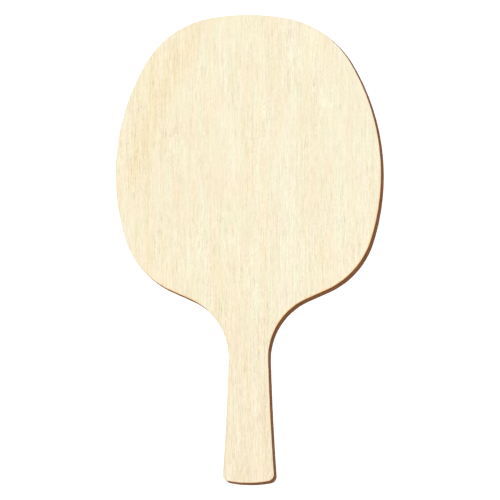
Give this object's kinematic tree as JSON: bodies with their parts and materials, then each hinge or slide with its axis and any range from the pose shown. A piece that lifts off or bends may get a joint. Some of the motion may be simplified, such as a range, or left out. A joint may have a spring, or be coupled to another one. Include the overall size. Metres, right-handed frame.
{
  "type": "table tennis bat blank",
  "caption": "Bare flat wooden table tennis bat, cut as one board with a rounded blade and a gently flared handle, without rubber or grip scales.",
  "frame": {"origin": "centre of the bat's bounding box on its rear face, which is the face it lies on", "axes": "+Y along the bat from the handle's butt towards the crown of the blade, +Z out of the front face, +X to the right seen from the front"},
  "size_m": [0.15, 0.2642, 0.0064],
  "materials": {
    "face_wood": "matte",
    "inner_wood": "matte",
    "cured_glue": "matte"
  },
  "bodies": {
    "root": {"front_face_veneer": "face_wood", "front_face_glue": "cured_glue", "front_cross_veneer": "inner_wood", "front_core_glue": "cured_glue", "core_veneer": "inner_wood", "rear_core_glue": "cured_glue", "rear_cross_veneer": "inner_wood", "rear_face_glue": "cured_glue", "rear_face_veneer": "face_wood"}
  },
  "joints": []
}
